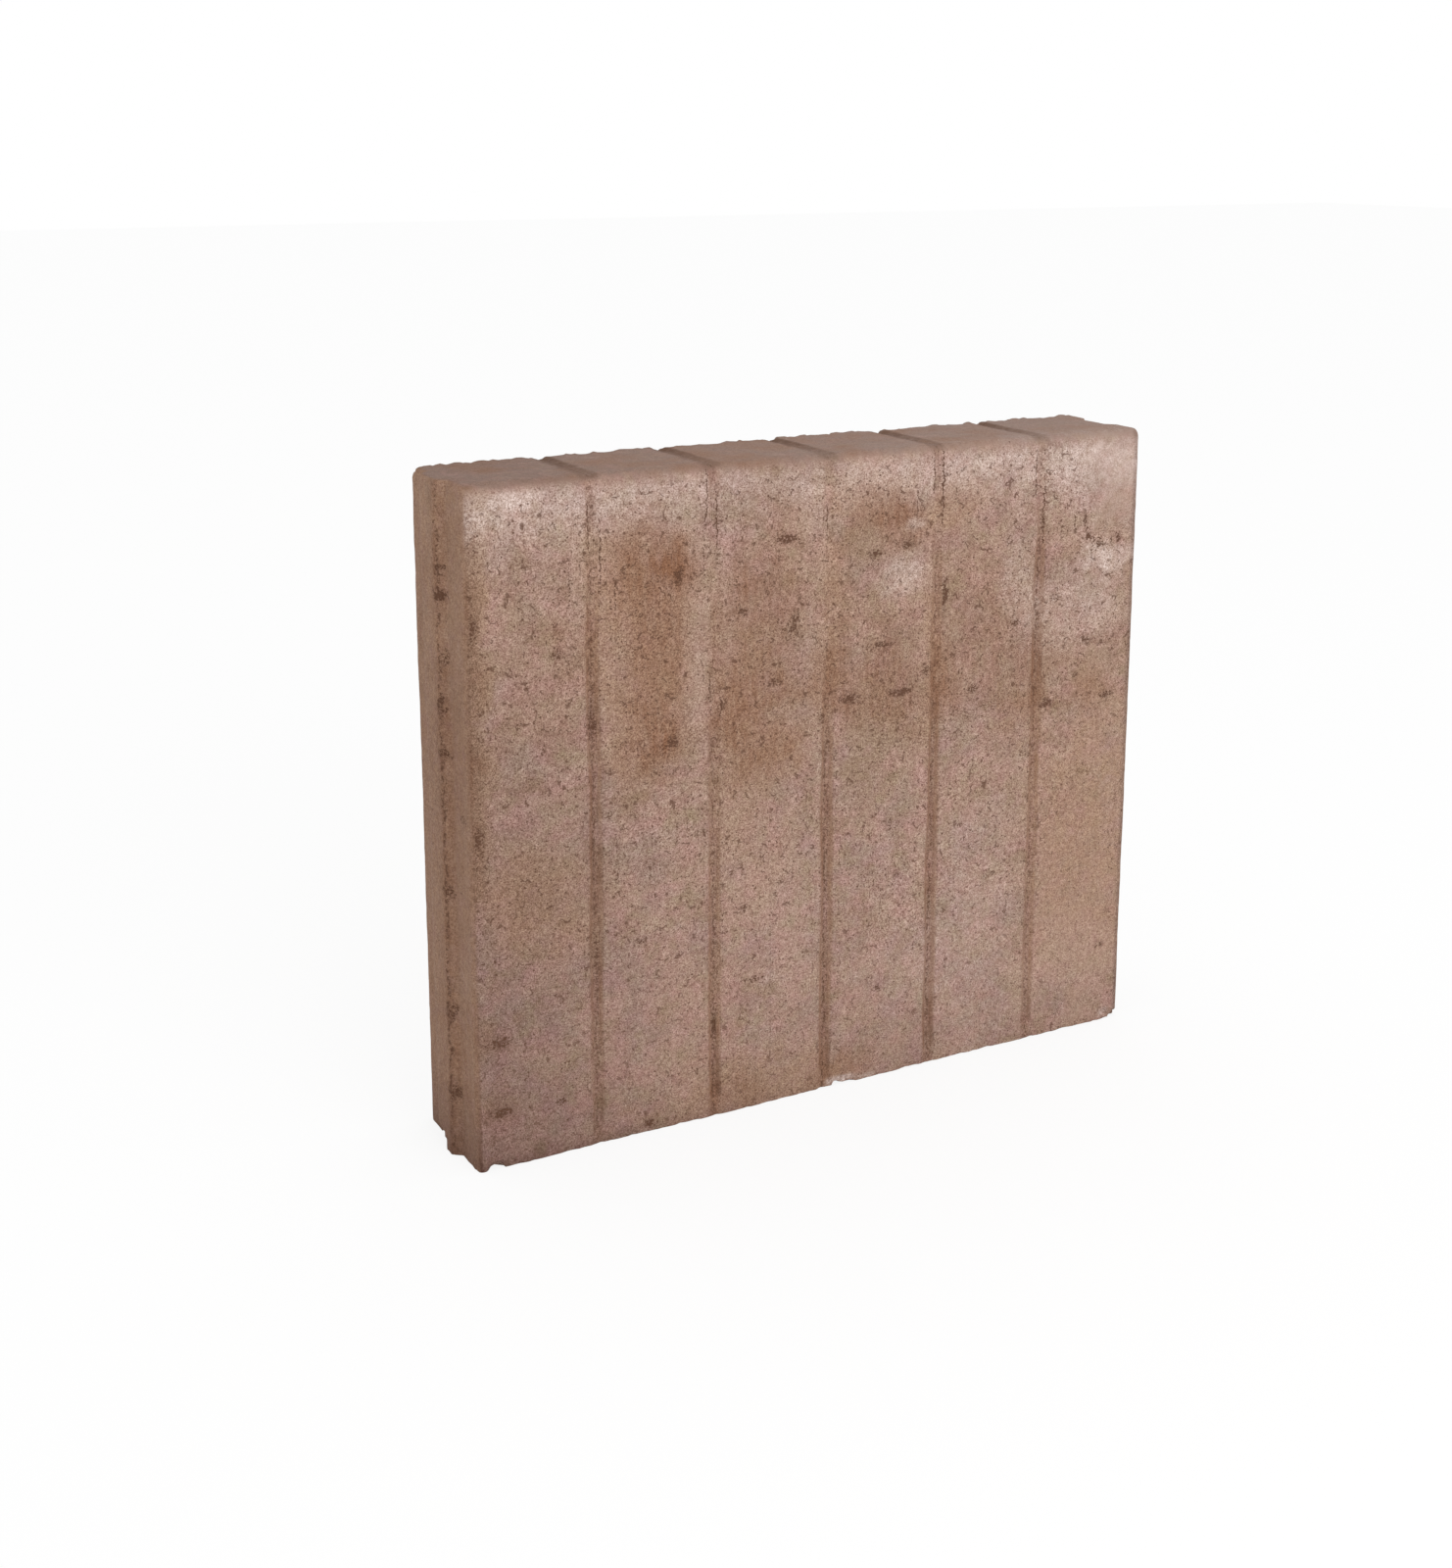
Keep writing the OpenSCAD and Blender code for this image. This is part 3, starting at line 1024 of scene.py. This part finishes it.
def seam_dots(g):
    """A broken dark line along the middle of each groove, where the groove is dirty"""
    off, dirty, _ = g.parts("seam")
    wander = g.level(g.noise(12 * MM, 3.0, 0.6), 0.3, 0.7, -0.9, 1.5)
    line = g.level(g.size_of(g.plus(off, wander)), 0.3, 1.1, 0.9, 0.0)
    broken = g.level(g.noise(2 * MM, 3.0, 0.65), 0.49, 0.58)
    return g.times(line, broken, dirty)


def dots(g, size, rare, reach, where=None):
    """Dots of many sizes, at most one in each cell: where the distance from the cell's middle is
    less than a reach that rises from nothing, at the rare share of cells, to its full value."""
    chance = g.channels(g.cells(size, where, "Color"))[0]
    own_reach = g.level(chance, rare, 1.0, 0.0, reach)
    return g.level(g.maths("SUBTRACT", own_reach, g.cells(size, where)), -0.02, 0.08)


def pores(g, calm):
    """Small holes that crowd in places, a few larger ones, tiny pits, curled hair cracks, the
    placed holes and cracks, and the dots in the grooves"""
    where = g.ragged(OUTLINE_NOISE)
    crowd = g.level(g.noise(15 * MM, 3.0, 0.6), 0.46, 0.6)
    small = g.times(dots(g, 3.4 * MM, 0.35, 0.22, where), crowd, g.level(calm, 0.0, 1.0, 1.0, 0.25))
    large = g.level(g.cells(19 * MM, where), 0.02, 0.05, 0.9, 0.0)
    curl = g.maths("SUBTRACT", g.noise(7 * MM, 1.0, 0.5, where), 0.5)
    some = g.level(g.noise(5 * MM, 1.0, 0.5, g.shifted(0.3)), 0.56, 0.62)
    hair = g.times(g.level(g.size_of(curl), 0.012, 0.04, 1.0, 0.0), some,
                   g.level(calm, 0.0, 0.3, 0.8, 0.1))
    pits = g.times(dots(g, 2.3 * MM, 0.5, 0.3), g.level(calm, 0.0, 0.7, 0.9, 0.0))
    return g.most(small, large, hair, pits, placed_marks(g, "holes", 0.7, 0.42),
                  placed_marks(g, "cracks", 2.0, 0.0), seam_dots(g))


def dyed(g, finish):
    """The dyed concrete by itself: heather with mauve and umber clouds, a quicker change of tone
    and a slight change of hue"""
    cool = g.level(g.noise(28 * MM, 3.0, 0.55), 0.4, 0.66, smooth=True)
    colour = g.mix(cool, finish.heather, finish.mauve)
    olive = g.level(g.noise(17 * MM, 4.0, 0.6, g.shifted(0.7)), 0.48, 0.72, 0.0, 0.85, smooth=True)
    colour = g.mix(olive, colour, finish.umber)
    cloud = g.mix(g.level(g.noise(9 * MM, 4.0, 0.6), 0.3, 0.7), *CLOUD_TINTS)
    colour = g.mix(g.level(g.mask("even"), 0.0, 1.0, 1.0, 0.55), colour, cloud, "MULTIPLY")
    hue = g.mix(g.level(g.noise(15 * MM, 3.0, 0.5, g.shifted(0.4)), 0.36, 0.64), *HUE_TINTS)
    return g.mix(1.0, colour, hue, "MULTIPLY")


def stained(g, finish, colour):
    """Lays the stains over a colour, each broken up by a noise, and darkens it by the painted shade.
    """
    patchy = g.level(g.noise(7 * MM, 5.0, 0.65), 0.32, 0.62, 0.35, 1.15)
    streaky = g.level(g.noise(4 * MM, 4.0, 0.6, g.drawn_down(0.25)), 0.3, 0.68, 0.55, 1.25)
    # The dust brings painted shade over the top, and the lime a painted highlight on the tongue's
    # rear side
    for name, broken in (("dust_and_shade", patchy), ("amber", patchy), ("umber", patchy),
                         ("ochre", streaky), ("lime_and_highlight", patchy)):
        colour = g.mix(g.times(g.mask(name), broken), colour, getattr(finish, name))
    # Painted shade: a reddish darkening multiplied over the colour
    return g.mix(g.mask("painted_shade"), colour, PAINTED_SHADE_TINT, "MULTIPLY")


def speckle(g, finish, grain, sand, calm):
    """Tints of the single grains and of the clumps they lie in, multiplied, and fainter where
    the face is calm"""
    cell = g.level(g.cells(finish.grain_size * 1.7), 0.1, 0.8, 0.14, -0.22)
    single = g.mix(g.plus(g.level(grain, 0.22, 0.6), cell), *GRAIN_TINTS)
    clump = g.mix(g.level(sand, 0.3, 0.7), *CLUMP_TINTS)
    return g.mix(calm, g.mix(1.0, single, clump, "MULTIPLY"), (1.0, 1.0, 1.0))


def concrete(finish):
    """Dry-pressed dyed concrete: a mottled heather brown with stains, painted shade and a painted
    highlight, pale bloom, sandy speckle and dark pores, over a fine sandy relief."""
    material = bpy.data.materials.new("heather_concrete")
    g = Graph(material)
    calm = g.mask("calm")
    grain = g.noise(finish.grain_size, 2.0, 0.7)
    sand = g.noise(finish.grain_size * 3.6, 3.0, 0.65)
    colour = stained(g, finish, dyed(g, finish))
    colour = g.mix(1.0, colour, speckle(g, finish, grain, sand, calm), "MULTIPLY")
    holes = pores(g, calm)
    # Soil, and painted shade in the grooves across the top and in the crease by the tongue
    dirt = g.times(g.mask("soil_and_shade"), g.level(g.noise(5 * MM, 4.0, 0.65), 0.3, 0.65, 0.45, 1.0))
    colour = g.mix(g.times(holes, 0.92), colour, finish.soil_and_shade)
    colour = g.mix(dirt, colour, finish.soil_and_shade)
    relief = g.plus(g.times(grain, 0.8), g.times(sand, 0.6))
    bump = g.add("ShaderNodeBump")
    bump.inputs["Strength"].default_value = 0.6
    bump.inputs["Distance"].default_value = 0.6 * MM
    g.feed(bump.inputs["Height"], g.maths("SUBTRACT", relief, g.times(holes, 1.1)))
    shader = g.add("ShaderNodeBsdfPrincipled")
    g.feed(shader.inputs["Base Color"], colour)
    g.feed(shader.inputs["Normal"], bump.outputs["Normal"])
    shader.inputs["Roughness"].default_value = 0.92
    shader.inputs["Specular IOR Level"].default_value = 0.25
    g.show(shader.outputs["BSDF"])
    return material


def seen_white(g, shown, lit):
    """Mixes a shader that the camera and clear reflections see with the one that light meets."""
    path = g.add("ShaderNodeLightPath").outputs
    mixed = g.add("ShaderNodeMixShader")
    g.feed(mixed.inputs[0], g.most(path["Is Camera Ray"], path["Is Glossy Ray"],
                                   path["Is Transmission Ray"]))
    g.feed(mixed.inputs[1], lit)
    g.feed(mixed.inputs[2], shown)
    return mixed.outputs[0]


# ---------------------------------------------------------------- operators


class PALISADE_OT_cast_slab(bpy.types.Operator):
    """Cast the slab over its solid and give it its weathered concrete"""

    bl_idname = "palisade.cast_slab"
    bl_label = "Cast slab"

    def execute(self, context):
        sizes = context.scene.palisade_sizes
        finish = context.scene.palisade_finish
        points, quads = clean_casting(sizes)
        normals = point_normals(points, quads)
        slab = new_piece("palisade_casting", weather(points, normals, finish, sizes), quads)
        at = surroundings(points, normals, sizes)
        for name, values in {**stain_masks(at, sizes), **mark_places(at)}.items():
            store(slab, name, values)
        slab.data.materials.append(concrete(finish))
        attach(slab, "root")
        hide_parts("palisade_slab")
        return {"FINISHED"}


class PALISADE_OT_set_stage(bpy.types.Operator):
    """Set up the floor, the soft light, the large lamp and the camera"""

    bl_idname = "palisade.set_stage"
    bl_label = "Set stage"

    def execute(self, context):
        studio = context.scene.palisade_studio
        self.floor(studio)
        self.sky(context.scene, studio)
        self.lamp(context.scene, studio)
        self.camera(context.scene, studio)
        context.scene.view_settings.view_transform = "Standard"
        return {"FINISHED"}

    def floor(self, studio):
        """A pale square that keeps the slab's shadow and shows nearly white"""
        flat = np.array([(-1, -1, 0), (1, -1, 0), (1, 1, 0), (-1, 1, 0)], float) * FLOOR_REACH
        floor = new_piece("floor", flat, np.array([[0, 1, 2, 3]]))
        material = bpy.data.materials.new("pale_floor")
        g = Graph(material)
        lit = g.add("ShaderNodeBsdfDiffuse")
        lit.inputs["Color"].default_value = (*studio.floor_colour, 1.0)
        white = g.add("ShaderNodeEmission")
        white.inputs["Strength"].default_value = FLOOR_WHITE
        faint = g.add("ShaderNodeMixShader")
        faint.inputs[0].default_value = FLOOR_WHITE_SHARE
        g.feed(faint.inputs[1], lit.outputs[0])
        g.feed(faint.inputs[2], white.outputs[0])
        g.show(seen_white(g, faint.outputs[0], lit.outputs[0]))
        floor.data.materials.append(material)

    def sky(self, scene, studio):
        """Even light from all round, which shows as plain white"""
        scene.world = bpy.data.worlds.new("studio")
        g = Graph(scene.world)
        soft = g.add("ShaderNodeBackground")
        white = g.add("ShaderNodeBackground")
        for background in (soft, white):
            background.inputs["Color"].default_value = (1.0, 1.0, 1.0, 1.0)
        soft.inputs["Strength"].default_value = studio.sky_strength
        g.show(seen_white(g, white.outputs[0], soft.outputs[0]), "ShaderNodeOutputWorld")

    def lamp(self, scene, studio):
        data = bpy.data.lights.new("key_lamp", "AREA")
        data.shape = "RECTANGLE"
        data.size, data.size_y = LAMP_SIZE
        data.energy = studio.key_power
        lamp = bpy.data.objects.new("key_lamp", data)
        lamp.location = LAMP_PLACE
        aim = Vector(LAMP_AIM) - lamp.location
        lamp.rotation_euler = aim.to_track_quat("-Z", "Y").to_euler()
        scene.collection.objects.link(lamp)

    def camera(self, scene, studio):
        data = bpy.data.cameras.new("camera")
        data.lens = studio.lens
        data.sensor_width = 36.0
        data.shift_y = studio.rise
        camera = bpy.data.objects.new("camera", data)
        camera.location = studio.camera_place
        heading, dip = studio.camera_heading, studio.camera_dip
        ahead = Vector((math.sin(heading) * math.cos(dip), math.cos(heading) * math.cos(dip),
                        -math.sin(dip)))
        camera.rotation_euler = ahead.to_track_quat("-Z", "Y").to_euler()
        scene.collection.objects.link(camera)
        scene.camera = camera


class PALISADE_PT_sidebar(bpy.types.Panel):
    """Lists the steps and the settings they read"""

    bl_idname = "PALISADE_PT_sidebar"
    bl_label = "Concrete palisade"
    bl_space_type = "VIEW_3D"
    bl_region_type = "UI"
    bl_category = "Palisade"

    def draw(self, context):
        for step, group in (
            (PALISADE_OT_cast_slab, context.scene.palisade_sizes),
            (PALISADE_OT_cast_slab, context.scene.palisade_finish),
            (PALISADE_OT_set_stage, context.scene.palisade_studio),
        ):
            box = self.layout.box()
            box.operator(step.bl_idname)
            for name in group.bl_rna.properties.keys():
                if name not in ("name", "rna_type"):
                    box.prop(group, name)


CLASSES = (SlabSizes, ConcreteFinish, Studio, PALISADE_OT_cast_slab, PALISADE_OT_set_stage,
           PALISADE_PT_sidebar)


def register():
    for kind in CLASSES:
        bpy.utils.register_class(kind)
    bpy.types.Scene.palisade_sizes = bpy.props.PointerProperty(type=SlabSizes)
    bpy.types.Scene.palisade_finish = bpy.props.PointerProperty(type=ConcreteFinish)
    bpy.types.Scene.palisade_studio = bpy.props.PointerProperty(type=Studio)


def unregister():
    del bpy.types.Scene.palisade_studio
    del bpy.types.Scene.palisade_finish
    del bpy.types.Scene.palisade_sizes
    for kind in reversed(CLASSES):
        bpy.utils.unregister_class(kind)


def main():
    """Runs the steps in order."""
    register()
    bpy.ops.palisade.cast_slab()
    bpy.ops.palisade.set_stage()


if __name__ == "__main__":
    main()
